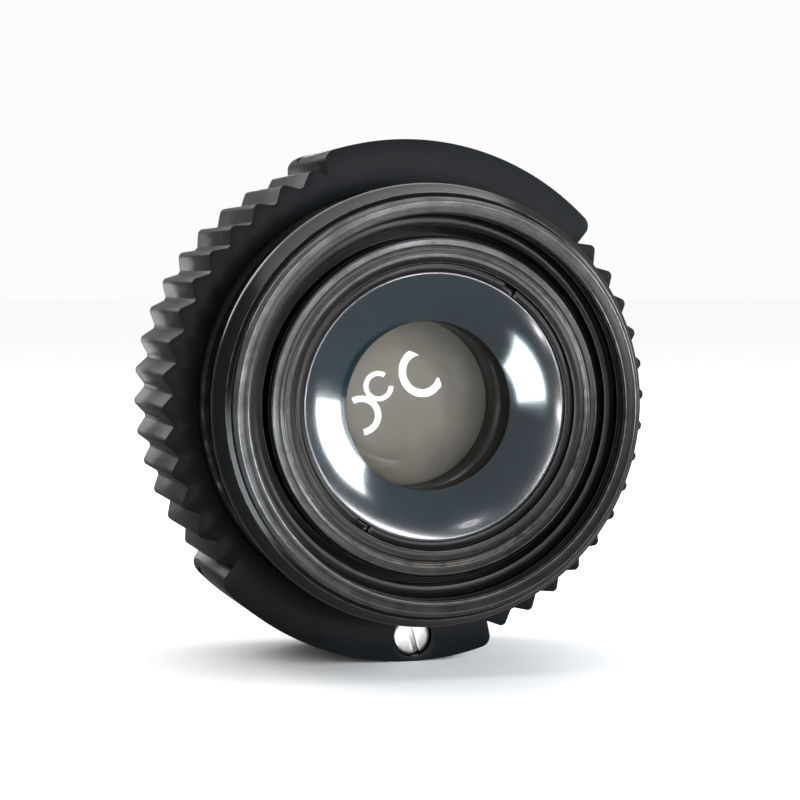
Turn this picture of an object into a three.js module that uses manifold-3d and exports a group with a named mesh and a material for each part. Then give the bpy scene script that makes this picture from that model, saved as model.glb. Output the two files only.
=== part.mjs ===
// Focusing eyepiece of a surveying telescope: a fixed mounting barrel, a knurled dioptre ring with
// two smooth lugs, and a lens cell that the ring drives along the optical axis through a helicoid.
//
// Millimetres and degrees. The origin is the middle of the rear seat, on the optical axis. +Y points
// out of the seat into the telescope, -Y towards the eye, +Z is up. Every piece is made along its own
// depth axis, which starts at the seat and grows towards the eye, and the assembly group turns that
// axis to -Y.
import * as THREE from 'three';
import { mergeVertices } from 'three/addons/utils/BufferGeometryUtils.js';
import Module from 'manifold-3d';

const wasm = await Module();
wasm.setup();

// ---- driving dimensions ---------------------------------------------------------------------
// Lens stack
const lensDiameter = 14.5;
const lensEdge = 0.5; // width of lens that a shoulder or ring covers at its rim
const eyeSurfaceRadius = 22; // outer face of each doublet
const innerSurfaceRadius = 72; // face that looks at the other doublet
const cementRadius = 24; // face between crown and flint
const crownEdgeThickness = 1.2;
const flintMiddleThickness = 0.8;
const spacerLength = 2.7;

// Lens cell
const cellDiameter = 27.8;
const cellRearWall = 2.8; // rear end face of the cell, around the retaining ring
const cellRecess = 1.1; // rear end face of the cell below the seat
const cellEdgeBevel = 0.3;
const cellReliefWidth = 0.7; // of the cell's rear end, drawn in from its running surface
const cellReliefLength = 2.6;
const bezelWall = 1.6;
const bezelHeight = 1.3;
const bezelDepth = 2.5; // front of the bezel below the front of the face plate

// Rear of the cell
const retainerWidth = 0.6;
const retainerHeight = 1.3;
const retainerRecess = 0.3; // below the cell's rear end face
const notchWidth = 1.1;
const notchDepth = 0.7;
const notchAngle = 57; // seen from behind, from the right-hand side
const coneDepth = 2;
const coneThroat = 2.2; // straight length after the cone
const coneWall = 0.8;
const coneHoleInset = 0.65; // hole radius below the lens radius

// Fixed barrel
const sleeveWall = 2.54;
const spigotWall = 0.9;
const seatWidth = 1.25; // rear end face
const seatLipDepth = 1.9;
const flangeHeight = 5.4;
const flangeProud = 0.8; // lip beyond the neck
const flangeLipHeight = 3.2; // of the widest point above the seat
const flangeLipRounding = 1;
const seatRidge = 0.6; // bevelled ridge behind the lip
const neckVisible = 4.1; // between flange and dioptre ring

// Dioptre ring
const ringHeight = 14.8;
const ringGap = 0.7; // shadow gap between neck and ring
const ringWall = 1.95; // from that gap to the tooth roots
const toothDepth = 0.85;
const lugProud = 1;
const toothPitches = 48; // all the way round, were there no lugs
const lugPitches = 9; // tooth pitches that each lug takes up
const lugCornerRadius = 0.9;
const frontCornerRadius = 2.3;
const ringRestTurn = -14; // of the lugs from upright, seen from behind

// Face plate
const plateThickness = 1.5;
const plateProud = 0.2;
const plateRim = 0.3; // of ring left around the plate
const gasketThickness = 0.25;
const gasketWidth = 2;

// Helicoid ring and its stop
const helicoidWall = 1.45;
const stopHeight = 1.3;
const stopPinDiameter = 1;
const stopPinSunk = 2.5;
const turnRange = 135; // each way

// Fasteners and seals
const grubDiameter = 2;
const grubFromFront = 4.2;
const grubSink = 0.5; // below the tooth roots
const grubFromTeethMiddle = 60; // of the two that stand beside the lugs' edges
const grubSlotWidth = 0.4;
const lugScrewHead = 3;
const lugScrewHeadHeight = 1.3;
const lugScrewShank = 2;
const lugScrewLength = 6;
const lugScrewSink = 0.35;
const lugScrewEdge = 0.35; // metal between the counterbore and the outside of the lug
const lugScrewAngle = 15; // from the middle of its lug
const screwSlotWidth = 0.5;
const lugScrewSlotTurn = 75; // of the slot from the lug's outside
const screwSlotDepth = 0.7;
const guideDiameter = 1.6;
const guideDepth = 1.2; // of the guide screw's nose in the cell
const guideTravel = 1; // of slot beyond the guide screw each way
const clipWidth = 0.95;
const clipGrip = 0.7; // depth of the snap ring in the neck
const clipProud = 0.4; // of the snap ring beyond the ring's bore
const clipOpening = 30; // degrees between its ends
const clipShoulder = 1.75; // of neck in front of the snap ring
const landWidth = 0.4; // of metal on either side of the guide screw
const sealSection = 1.3;
const sealFromRear = 1;
const cellSealSection = 1.1;
const cellSealFromRear = 4.4;

// Clearances
const runningClearance = 0.06; // radial, between pieces that turn or slide on each other
const seatClearance = 0.05; // between pieces that are screwed or pressed together
const holeClearance = 0.1; // radial, around screws and pins
const faceGap = 0.2; // axial, between end faces
const clipPlay = 0.1;

// Fineness of the round shapes
const roundSteps = 48;
const smallSteps = 16;
const arcSteps = 5;

// ---- levels and radii that follow -----------------------------------------------------------
const lensRadius = lensDiameter / 2;
const cellRadius = cellDiameter / 2;
const cellRearBore = cellRadius - cellRearWall;
const lensBore = lensRadius + seatClearance;
const apertureRadius = lensRadius - lensEdge;

const sleeveBore = cellRadius + runningClearance;
const neckRadius = sleeveBore + sleeveWall;
const spigotRadius = sleeveBore + spigotWall;
const flangeRadius = neckRadius + flangeProud;
const seatOuterRadius = neckRadius - 2 * faceGap;
const seatInnerRadius = seatOuterRadius - seatWidth;

const ringBore = neckRadius + ringGap;
const toothRoot = ringBore + ringWall;
const toothTip = toothRoot + toothDepth;
const lugRadius = toothTip + lugProud;
const bearingBore = neckRadius + runningClearance;

const ringRear = flangeHeight + neckVisible;
const ringFront = ringRear + ringHeight;
const plateFront = ringFront + plateProud;
const plateRear = plateFront - plateThickness;
const recessFloor = plateRear - gasketThickness - faceGap / 2;
const plateRadius = lugRadius - frontCornerRadius - plateRim - seatClearance;

const helicoidRadius = sleeveBore + helicoidWall;
const helicoidFront = recessFloor - faceGap;
const sealGroove = sealSection + 2 * seatClearance;
const guideHole = guideDiameter + 2 * holeClearance;
const guideLevel = ringRear + sealFromRear + sealGroove / 2 + landWidth + guideHole / 2;
const clipFront = guideLevel + guideHole / 2 + landWidth + clipPlay + clipWidth;
const neckFront = clipFront + clipShoulder;
const shoulder = neckFront + faceGap;
const helicoidRear = shoulder + faceGap;

const bezelFront = plateFront - bezelDepth;
const bezelRear = bezelFront - bezelHeight;
const cellRear = cellRecess;
const cellFront = bezelFront - faceGap;

const retainerRear = cellRear + retainerRecess;
const retainerFront = retainerRear + retainerHeight;
const retainerBore = cellRearBore - seatClearance - retainerWidth;
const coneHole = lensRadius - coneHoleInset;
const coneRear = retainerRear + faceGap;
const coneFront = coneRear + coneDepth;
const throatFront = coneFront + coneThroat;

// ---- making solids --------------------------------------------------------------------------
const radians = THREE.MathUtils.degToRad;

// A closed geometry with nothing but positions, shared between its triangles.
function weld(geometry) {
  const bare = geometry.index ? geometry.toNonIndexed() : geometry.clone();
  bare.deleteAttribute('normal');
  bare.deleteAttribute('uv');
  const welded = mergeVertices(bare, 1e-5);
  const corners = welded.index.array;
  const kept = [];
  for (let i = 0; i < corners.length; i += 3) {
    const [a, b, c] = [corners[i], corners[i + 1], corners[i + 2]];
    if (a !== b && b !== c && c !== a) kept.push(a, b, c);
  }
  welded.setIndex(kept);
  return welded;
}

function toSolid(geometry) {
  const welded = weld(geometry);
  return new wasm.Manifold(new wasm.Mesh({
    numProp: 3,
    vertProperties: new Float32Array(welded.attributes.position.array),
    triVerts: new Uint32Array(welded.index.array),
  }));
}

function toGeometry(solid) {
  const mesh = solid.getMesh();
  const geometry = new THREE.BufferGeometry();
  geometry.setAttribute('position', new THREE.BufferAttribute(new Float32Array(mesh.vertProperties), 3));
  geometry.setIndex(new THREE.BufferAttribute(new Uint32Array(mesh.triVerts), 1));
  return geometry;
}

const cut = (geometry, ...tools) => toGeometry(
  tools.reduce((solid, tool) => solid.subtract(toSolid(tool)), toSolid(geometry)),
);
const meet = (a, b) => toGeometry(toSolid(a).intersect(toSolid(b)));

// A ring or disc from its section: [radius, depth] corners, anticlockwise or not.
function revolve(section, steps = roundSteps) {
  let area = 0;
  section.forEach(([r, d], i) => {
    const [nextR, nextD] = section[(i + 1) % section.length];
    area += r * nextD - nextR * d;
  });
  const loop = area > 0 ? [...section] : [...section].reverse();
  loop.push(loop[0]);
  return weld(new THREE.LatheGeometry(loop.map(([r, d]) => new THREE.Vector2(r, d)), steps));
}

// A plain ring between two radii and two depths.
const ring = (inner, outer, rear, front, steps) => revolve(
  [[inner, rear], [outer, rear], [outer, front], [inner, front]],
  steps,
);

// Corners of a round stretch of section about a centre, between two angles from the radial direction.
function arc(r, d, radius, from, to, steps = arcSteps) {
  return Array.from({ length: steps + 1 }, (_, i) => {
    const angle = radians(from + ((to - from) * i) / steps);
    return [r + radius * Math.cos(angle), d + radius * Math.sin(angle)];
  });
}

// Angles are given as seen from behind, anticlockwise from the right-hand side. After the
// assembly's half turn that is the same as an angle from +X towards +Z on the depth axis.
const around = (geometry, angle) => geometry.rotateY(-radians(angle));

// A round bar along the depth axis, standing off it in the direction of an angle.
function axialBar(radius, distance, rear, front, angle) {
  const bar = new THREE.CylinderGeometry(radius, radius, front - rear, smallSteps);
  return around(bar.translate(distance, (rear + front) / 2, 0), angle);
}

// A round bar that points outwards from the axis.
function radialBar(radius, inner, outer, depth, angle) {
  const bar = new THREE.CylinderGeometry(radius, radius, outer - inner, smallSteps);
  return around(bar.rotateZ(Math.PI / 2).translate((inner + outer) / 2, depth, 0), angle);
}

// A block with its middle at a distance from the axis, for slots and notches.
function block(size, distance, depth, angle) {
  return around(new THREE.BoxGeometry(...size).translate(distance, depth, 0), angle);
}

// Sag of a lens face of a given radius at a distance from the axis.
const sag = (radius, r) => radius - Math.sqrt(radius * radius - r * r);

// Corners of a lens face from the axis to the rim. A positive bulge points towards the eye.
function lensFace(rimDepth, radius, bulge) {
  const steps = arcSteps + 1;
  return Array.from({ length: steps + 1 }, (_, i) => {
    const r = (lensRadius * i) / steps;
    return [r, rimDepth + bulge * (sag(radius, lensRadius) - sag(radius, r))];
  });
}

// A lens between two faces, each [depth of its rim, radius, bulge].
const lens = (rearFace, frontFace) => weld(new THREE.LatheGeometry(
  [...lensFace(...rearFace), ...lensFace(...frontFace).reverse()].map(([r, d]) => new THREE.Vector2(r, d)),
  roundSteps / 2,
));

// ---- fixed barrel ---------------------------------------------------------------------------
function mountFlange() {
  return revolve([
    [seatInnerRadius, 0],
    [seatOuterRadius - seatRidge / 2, 0],
    [seatOuterRadius, seatRidge / 2],
    [seatOuterRadius, 2 * seatRidge],
    [neckRadius, 2 * seatRidge + faceGap / 2],
    ...arc(flangeRadius - flangeLipRounding, flangeLipHeight, flangeLipRounding, -50, 60),
    [neckRadius + faceGap, flangeHeight - seatRidge],
    [neckRadius - faceGap / 2, flangeHeight],
    [spigotRadius + seatClearance, flangeHeight],
    [spigotRadius + seatClearance, seatLipDepth],
    [seatInnerRadius, seatLipDepth],
  ]);
}

function neckSleeve() {
  const sealFloor = neckRadius - sealSection + 2 * seatClearance;
  const sealMiddle = ringRear + sealFromRear;
  const halfGroove = sealGroove / 2;
  const clipRear = clipFront - clipWidth - clipPlay;
  const tube = revolve([
    [sleeveBore, seatLipDepth + faceGap],
    [spigotRadius, seatLipDepth + faceGap],
    [spigotRadius, flangeHeight + seatClearance],
    [neckRadius, flangeHeight + seatClearance],
    [neckRadius, sealMiddle - halfGroove],
    [sealFloor, sealMiddle - halfGroove],
    [sealFloor, sealMiddle + halfGroove],
    [neckRadius, sealMiddle + halfGroove],
    [neckRadius, clipRear],
    [neckRadius - clipGrip, clipRear],
    [neckRadius - clipGrip, clipFront],
    [neckRadius, clipFront],
    [neckRadius, neckFront],
    [sleeveBore, neckFront],
  ]);
  const screwHole = radialBar(guideHole / 2, sleeveBore - 1, neckRadius + 1, guideLevel, 0);
  const pinHole = axialBar(
    stopPinDiameter / 2 + holeClearance, stopPinDistance(), neckFront - stopPinSunk - faceGap,
    neckFront + 1, stopPinAngle,
  );
  return cut(tube, screwHole, pinHole);
}

// The stop pin stands in the neck's front face, in the space that the helicoid ring leaves around
// its stepped rear end.
const stopPinAngle = 90;
const stopPinDistance = () => helicoidRadius - stopPinDiameter / 2;

const neckSeal = () => revolve(
  arc(neckRadius + ringGap - sealSection / 2 - seatClearance, ringRear + sealFromRear,
    sealSection / 2 - seatClearance / 2, 0, 315, 7),
);

function snapRing() {
  const front = clipFront - clipPlay / 2;
  const whole = ring(neckRadius - clipGrip + seatClearance, ringBore + clipProud, front - clipWidth, front);
  const reach = ringBore + clipProud + 1;
  const wedge = new THREE.Shape([
    new THREE.Vector2(0, 0),
    new THREE.Vector2(reach, -reach * Math.tan(radians(clipOpening / 2))),
    new THREE.Vector2(reach, reach * Math.tan(radians(clipOpening / 2))),
  ]);
  const opening = new THREE.ExtrudeGeometry(wedge, { depth: clipWidth + 2, bevelEnabled: false });
  opening.rotateX(-Math.PI / 2).translate(0, front - clipWidth - 1, 0);
  return cut(whole, around(opening, 200));
}

const stopPin = () => axialBar(
  stopPinDiameter / 2, stopPinDistance(), neckFront - stopPinSunk,
  helicoidRear + stopHeight - faceGap, stopPinAngle,
);

function guideScrew() {
  const nose = sleeveBore - guideDepth;
  const head = neckRadius - faceGap;
  const slot = block([2 * screwSlotDepth, guideDiameter + 1, grubSlotWidth], head, guideLevel, 0);
  return cut(radialBar(guideDiameter / 2, nose, head, guideLevel, 0), slot);
}

// ---- dioptre ring ---------------------------------------------------------------------------
// Outline of the grip seen from behind: two runs of V teeth with blunt tips between two lugs.
function gripOutline() {
  const pitch = 360 / toothPitches;
  const teethPerSide = toothPitches / 2 - lugPitches;
  const lugHalf = (lugPitches * pitch) / 2;
  const corner = Math.asin(lugCornerRadius / (lugRadius - lugCornerRadius));
  const points = [];
  const put = (radius, angle) => points.push(new THREE.Vector2(
    radius * Math.cos(radians(angle)), radius * Math.sin(radians(angle)),
  ));
  for (const middle of [90, 270]) {
    const start = middle - lugHalf;
    const cornerTurn = THREE.MathUtils.radToDeg(corner);
    // The leading corner of the lug, its outside and its trailing corner.
    for (const side of [-1, 1]) {
      const cornerMiddle = middle + side * (lugHalf - cornerTurn);
      const centre = new THREE.Vector2(lugRadius - lugCornerRadius, 0)
        .rotateAround(new THREE.Vector2(), radians(cornerMiddle));
      for (let i = 0; i <= arcSteps; i += 1) {
        const share = side < 0 ? i / arcSteps : 1 - i / arcSteps;
        const angle = radians(cornerMiddle + side * 90 * (1 - share));
        points.push(new THREE.Vector2(
          centre.x + lugCornerRadius * Math.cos(angle), centre.y + lugCornerRadius * Math.sin(angle),
        ));
      }
      if (side < 0) {
        const outside = 2 * lugPitches;
        for (let i = 1; i < outside; i += 1) {
          put(lugRadius, start + cornerTurn + ((2 * (lugHalf - cornerTurn)) * i) / outside);
        }
      }
    }
    // The run of teeth that follows it.
    for (let tooth = 0; tooth < teethPerSide; tooth += 1) {
      const root = middle + lugHalf + tooth * pitch;
      put(toothRoot, root + 0.06 * pitch);
      put(toothTip, root + 0.42 * pitch);
      put(toothTip, root + 0.58 * pitch);
      put(toothRoot, root + 0.94 * pitch);
    }
  }
  return new THREE.Shape(points);
}

function knurledRing() {
  const prism = new THREE.ExtrudeGeometry(gripOutline(), { depth: ringHeight + 2, bevelEnabled: false });
  prism.rotateX(Math.PI / 2).translate(0, ringFront + 1, 0);
  around(prism, ringRestTurn);

  const clipGroove = ringBore + clipProud + holeClearance + faceGap;
  const grooveFront = clipFront + clipPlay;
  const grooveRear = clipFront - clipWidth - 2 * clipPlay;
  const body = revolve([
    [ringBore, ringRear],
    [lugRadius + 1, ringRear],
    [lugRadius + 1, ringFront - frontCornerRadius],
    [lugRadius, ringFront - frontCornerRadius],
    ...arc(lugRadius - frontCornerRadius, ringFront - frontCornerRadius, frontCornerRadius, 0, 90),
    [plateRadius + seatClearance, ringFront],
    [plateRadius + seatClearance, recessFloor],
    [helicoidRadius + seatClearance, recessFloor],
    [helicoidRadius + seatClearance, shoulder],
    [bearingBore, shoulder],
    [bearingBore, grooveFront],
    [clipGroove, grooveFront],
    [clipGroove, grooveRear],
    [ringBore, grooveRear],
  ]);
  const grubHoles = grubAngles().map((angle) => radialBar(
    grubDiameter / 2 + holeClearance, helicoidRadius - 1, lugRadius + 2, grubLevel(), angle,
  ));
  const headHole = lugScrewHead / 2 + 1.5 * holeClearance;
  const screwHoles = [
    axialBar(headHole, lugScrewDistance(), ringRear - 1,
      ringRear + lugScrewSink + lugScrewHeadHeight + holeClearance, lugScrewDirection()),
    axialBar(lugScrewShank / 2 + holeClearance, lugScrewDistance(), ringRear,
      ringRear + lugScrewSink + lugScrewLength + faceGap, lugScrewDirection()),
  ];
  return cut(meet(prism, body), ...grubHoles, ...screwHoles);
}

const grubLevel = () => plateFront - grubFromFront;
const grubAngles = () => [180 - grubFromTeethMiddle, 180 + grubFromTeethMiddle, 0].map(
  (angle) => angle + ringRestTurn,
);
const lugScrewDistance = () => lugRadius - lugScrewEdge - lugScrewHead / 2 - 1.5 * holeClearance;
const lugScrewDirection = () => 270 + lugScrewAngle + ringRestTurn;

function grubScrew(angle) {
  const outer = toothRoot - grubSink;
  const bar = radialBar(grubDiameter / 2, helicoidRadius + seatClearance, outer, grubLevel(), angle);
  const slot = block([2 * screwSlotDepth, grubDiameter + 1, grubSlotWidth], outer, grubLevel(), angle);
  return cut(bar, slot);
}

function lugScrew() {
  const rear = ringRear + lugScrewSink;
  const neck = rear + lugScrewHeadHeight;
  const section = [
    [0, rear], [lugScrewHead / 2 - holeClearance, rear], [lugScrewHead / 2, rear + holeClearance],
    [lugScrewHead / 2, neck], [lugScrewShank / 2, neck],
    [lugScrewShank / 2, rear + lugScrewLength], [0, rear + lugScrewLength],
  ];
  const screw = weld(new THREE.LatheGeometry(section.map(([r, d]) => new THREE.Vector2(r, d)), smallSteps));
  const slot = new THREE.BoxGeometry(screwSlotWidth, 2 * screwSlotDepth, lugScrewHead + 1);
  slot.rotateY(radians(lugScrewSlotTurn)).translate(0, rear, 0);
  return around(new THREE.BufferGeometry().copy(cut(screw, slot)).translate(lugScrewDistance(), 0, 0),
    lugScrewDirection());
}

function facePlate() {
  const edge = 0.15;
  return revolve([
    [apertureRadius, plateRear],
    [plateRadius, plateRear],
    [plateRadius, plateFront - edge],
    [plateRadius - edge, plateFront],
    [apertureRadius + edge, plateFront],
    [apertureRadius, plateFront - edge],
  ]);
}

const faceGasket = () => ring(
  plateRadius - gasketWidth, plateRadius - faceGap, recessFloor + seatClearance,
  recessFloor + seatClearance + gasketThickness,
);

// The rear end of the helicoid ring is stepped down to let the stop pin past, except for one sector
// whose two ends meet the pin at the limits of the turn.
function helicoidRing() {
  const stepRadius = helicoidRadius - stopPinDiameter - faceGap;
  const whole = ring(sleeveBore, helicoidRadius, helicoidRear, helicoidFront);
  const step = ring(stepRadius, helicoidRadius + 1, helicoidRear - 1, helicoidRear + stopHeight);
  const pinHalf = THREE.MathUtils.radToDeg(Math.asin((stopPinDiameter / 2) / stopPinDistance()));
  const half = turnRange + pinHalf + 1;
  const reach = 2 * helicoidRadius;
  // A fan-shaped prism over the turn that the pin must be free to make.
  const fan = new THREE.Shape([new THREE.Vector2(0, 0)]);
  const fanSteps = 24;
  for (let i = 0; i <= fanSteps; i += 1) {
    const angle = radians(stopPinAngle - half + (2 * half * i) / fanSteps);
    fan.lineTo(reach * Math.cos(angle), reach * Math.sin(angle));
  }
  const prism = new THREE.ExtrudeGeometry(fan, { depth: stopHeight + 4, bevelEnabled: false });
  prism.rotateX(Math.PI / 2).translate(0, helicoidRear + stopHeight + 2, 0);
  return cut(whole, meet(step, prism));
}

// ---- lens cell ------------------------------------------------------------------------------
// How far a lens rests inside a shoulder or ring that touches its outer face at the aperture.
const seatRise = sag(eyeSurfaceRadius, lensRadius) - sag(eyeSurfaceRadius, apertureRadius);
const flintEdgeThickness = flintMiddleThickness + sag(cementRadius, lensRadius)
  + sag(innerSurfaceRadius, lensRadius);

// Depths of the lens rims, from the eye side inwards.
const eyeRimFront = bezelRear - seatClearance - seatRise;
const eyeRimCement = eyeRimFront - crownEdgeThickness;
const eyeRimRear = eyeRimCement - flintEdgeThickness;
const fieldRimFront = eyeRimRear - spacerLength - 2 * seatClearance;
const fieldRimCement = fieldRimFront - flintEdgeThickness;
const fieldRimRear = fieldRimCement - crownEdgeThickness;
const lensShoulder = fieldRimRear - seatRise - seatClearance;

function lensCell() {
  const bezelBore = apertureRadius + bezelWall + seatClearance;
  const sealFloor = cellRadius - cellSealSection + seatClearance;
  const sealMiddle = cellRear + cellSealFromRear;
  const halfGroove = cellSealSection / 2 + seatClearance;
  const tube = revolve([
    [cellRearBore, cellRear],
    [cellRadius - cellReliefWidth - cellEdgeBevel, cellRear],
    [cellRadius - cellReliefWidth, cellRear + cellEdgeBevel],
    [cellRadius - cellReliefWidth, cellRear + cellReliefLength],
    [cellRadius, cellRear + cellReliefLength],
    [cellRadius, sealMiddle - halfGroove],
    [sealFloor, sealMiddle - halfGroove],
    [sealFloor, sealMiddle + halfGroove],
    [cellRadius, sealMiddle + halfGroove],
    [cellRadius, cellFront],
    [bezelBore, cellFront],
    [bezelBore, bezelRear - seatClearance],
    [lensBore, bezelRear - seatClearance],
    [lensBore, lensShoulder],
    [apertureRadius, lensShoulder],
    [apertureRadius, throatFront + faceGap],
    [cellRearBore, throatFront + faceGap],
  ]);
  const slot = block(
    [2 * (guideDepth + faceGap), guideDiameter + 2 * guideTravel, guideDiameter + 2 * runningClearance],
    cellRadius, guideLevel, 0,
  );
  return cut(tube, slot);
}

const frontBezel = () => revolve([
  [apertureRadius, bezelRear],
  [apertureRadius + bezelWall, bezelRear],
  [apertureRadius + bezelWall, bezelFront],
  [apertureRadius + 2 * faceGap, bezelFront],
  [apertureRadius, bezelFront - 2 * faceGap],
]);

const lensSpacer = () => {
  const inner = apertureRadius;
  return ring(inner, lensRadius, fieldRimFront + seatClearance, eyeRimRear - seatClearance, roundSteps / 2);
};

const eyeCrown = () => lens(
  [eyeRimCement + seatClearance / 2, cementRadius, -1], [eyeRimFront, eyeSurfaceRadius, 1],
);
const eyeFlint = () => lens(
  [eyeRimRear, innerSurfaceRadius, 1], [eyeRimCement - seatClearance / 2, cementRadius, -1],
);
const fieldFlint = () => lens(
  [fieldRimCement + seatClearance / 2, cementRadius, 1], [fieldRimFront, innerSurfaceRadius, -1],
);
const fieldCrown = () => lens(
  [fieldRimRear, eyeSurfaceRadius, -1], [fieldRimCement - seatClearance / 2, cementRadius, 1],
);

function rearRetainer() {
  const outer = cellRearBore - seatClearance;
  const whole = ring(retainerBore, outer, retainerRear, retainerFront);
  const notches = [0, 180].map((side) => block(
    [2 * retainerWidth + 1, 2 * notchDepth, notchWidth], retainerBore + retainerWidth / 2, retainerRear,
    notchAngle + side,
  ));
  return cut(whole, ...notches);
}

function coneBaffle() {
  const rim = cellRearBore - seatClearance;
  const lip = retainerBore - seatClearance;
  return revolve([
    [coneHole, coneFront],
    [lip - faceGap, coneRear],
    [lip, coneRear],
    [lip, retainerFront + seatClearance],
    [rim, retainerFront + seatClearance],
    [rim, retainerFront + seatClearance + coneWall],
    [coneHole + coneWall, throatFront],
    [coneHole, throatFront],
  ]);
}

const cellSeal = () => revolve(
  arc(cellRadius - cellSealSection / 2 + seatClearance, cellRear + cellSealFromRear,
    cellSealSection / 2 - seatClearance / 2, 0, 315, 7),
);

// ---- assembly -------------------------------------------------------------------------------
const finishes = {
  blackAnodised: { color: 0x191a1c, roughness: 0.35, metalness: 0.6 },
  gripBlack: { color: 0x1d1b19, roughness: 0.5, metalness: 0.2 },
  slate: { color: 0x434d51, roughness: 0.7, metalness: 0.2 },
  turnedGrey: { color: 0x7e8084, roughness: 0.4, metalness: 0.8 },
  coneGloss: { color: 0x33424f, roughness: 0.12, metalness: 0.7 },
  crownGlass: { color: 0xc9c2b8, roughness: 0.02, metalness: 0 },
  flintGlass: { color: 0xb9b9ae, roughness: 0.02, metalness: 0 },
  brightSteel: { color: 0xd5d6d8, roughness: 0.25, metalness: 1 },
  springSteel: { color: 0x6c6f74, roughness: 0.35, metalness: 1 },
  rubber: { color: 0x111111, roughness: 0.8, metalness: 0 },
};
const materials = Object.fromEntries(Object.entries(finishes).map(
  ([name, finish]) => [name, new THREE.MeshStandardMaterial(finish)],
));

const assembly = new THREE.Group();
assembly.rotation.z = Math.PI;

function place(name, geometry, finish) {
  const piece = new THREE.Mesh(geometry, materials[finish]);
  piece.name = name;
  assembly.add(piece);
}

place('mount_flange', mountFlange(), 'blackAnodised');
place('neck_sleeve', neckSleeve(), 'blackAnodised');
place('neck_seal', neckSeal(), 'rubber');
place('snap_ring', snapRing(), 'springSteel');
place('stop_pin', stopPin(), 'springSteel');
place('guide_screw', guideScrew(), 'springSteel');

place('knurled_ring', knurledRing(), 'gripBlack');
place('face_plate', facePlate(), 'slate');
place('face_gasket', faceGasket(), 'rubber');
place('helicoid_ring', helicoidRing(), 'turnedGrey');
grubAngles().forEach((angle, i) => place(`grub_screw_${i + 1}`, grubScrew(angle), 'brightSteel'));
place('lug_screw', lugScrew(), 'brightSteel');

place('lens_cell', lensCell(), 'blackAnodised');
place('front_bezel', frontBezel(), 'blackAnodised');
place('eye_lens_crown', eyeCrown(), 'crownGlass');
place('eye_lens_flint', eyeFlint(), 'flintGlass');
place('lens_spacer', lensSpacer(), 'blackAnodised');
place('field_lens_flint', fieldFlint(), 'flintGlass');
place('field_lens_crown', fieldCrown(), 'crownGlass');
place('cone_baffle', coneBaffle(), 'coneGloss');
place('rear_retaining_ring', rearRetainer(), 'blackAnodised');
place('cell_seal', cellSeal(), 'rubber');

const eyepiece = new THREE.Group();
eyepiece.add(assembly);
export default eyepiece;
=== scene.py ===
"""Focusing eyepiece of a surveying telescope: the looks of every piece, and the stage it stands on."""

import math

import bmesh
import bpy
from mathutils import Matrix, Vector


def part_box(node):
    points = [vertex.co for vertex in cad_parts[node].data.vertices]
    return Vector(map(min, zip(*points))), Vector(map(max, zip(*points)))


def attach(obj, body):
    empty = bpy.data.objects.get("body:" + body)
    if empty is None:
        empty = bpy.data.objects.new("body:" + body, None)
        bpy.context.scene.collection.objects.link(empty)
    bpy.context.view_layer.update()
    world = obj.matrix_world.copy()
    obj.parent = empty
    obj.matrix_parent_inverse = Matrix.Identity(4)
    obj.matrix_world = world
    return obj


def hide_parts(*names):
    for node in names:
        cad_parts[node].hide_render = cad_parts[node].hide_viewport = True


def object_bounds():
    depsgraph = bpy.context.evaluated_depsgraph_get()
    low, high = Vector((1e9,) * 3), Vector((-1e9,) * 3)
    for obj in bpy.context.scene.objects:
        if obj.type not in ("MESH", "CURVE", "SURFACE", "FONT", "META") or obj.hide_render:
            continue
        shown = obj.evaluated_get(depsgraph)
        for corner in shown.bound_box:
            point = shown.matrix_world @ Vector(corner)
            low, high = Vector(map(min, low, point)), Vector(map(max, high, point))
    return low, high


bl_info = {
    "name": "Focusing Eyepiece",
    "version": (1, 0, 0),
    "blender": (4, 5, 0),
    "location": "View3D > Sidebar > Eyepiece",
    "description": "Makes the visible pieces of a focusing eyepiece over its mechanical model",
    "category": "Object",
}

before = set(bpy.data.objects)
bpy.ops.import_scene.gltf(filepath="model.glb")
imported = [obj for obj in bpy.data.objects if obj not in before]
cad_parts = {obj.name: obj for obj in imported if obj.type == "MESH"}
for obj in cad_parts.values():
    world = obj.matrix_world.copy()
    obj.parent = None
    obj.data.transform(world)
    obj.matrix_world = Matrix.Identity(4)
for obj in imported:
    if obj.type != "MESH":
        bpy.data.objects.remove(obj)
CAD_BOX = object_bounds()
MM = 0.001
MERGE = 1e-7  # corners nearer than this become one, in metres
SHARP = math.radians(30)  # edges that turn more than this are broken
CREASE = math.radians(38)  # edges that turn more than this stay hard in the shading
BAND_EDGE = 12.0  # how sharply a band of another finish ends


def top_of(node, axis):
    """Highest coordinate of a mechanical piece, in millimetres."""
    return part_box(node)[1][axis] / MM


def depth_of(node):
    """(rear, front) of a mechanical piece, in millimetres from the rear seat towards the eye."""
    low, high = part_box(node)
    return -high[1] / MM, -low[1] / MM


RING_REAR, RING_FRONT = depth_of("knurled_ring")
PLATE_REAR, PLATE_FRONT = depth_of("face_plate")
CELL_REAR, CELL_FRONT = depth_of("lens_cell")
CONE_REAR, CONE_FRONT = depth_of("cone_baffle")
KEEPER_REAR, KEEPER_FRONT = depth_of("rear_retaining_ring")
BEZEL_REAR, BEZEL_FRONT = depth_of("front_bezel")
SEAL_REAR, SEAL_FRONT = depth_of("neck_seal")
CLIP_REAR, CLIP_FRONT = depth_of("snap_ring")
GUIDE_REAR, GUIDE_FRONT = depth_of("guide_screw")
NECK_FRONT = depth_of("neck_sleeve")[1]
CELL_RADIUS = top_of("lens_cell", 0)
FLANGE_RADIUS = top_of("mount_flange", 0)
PLATE_RADIUS = top_of("face_plate", 0)
HELICOID_RADIUS = top_of("helicoid_ring", 0)
LENS_RADIUS = top_of("eye_lens_crown", 0)
CLEAR_RADIUS = LENS_RADIUS - 0.5  # opening in front of a lens
NECK_RADIUS = 16.5
SLEEVE_BORE = 13.96
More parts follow.
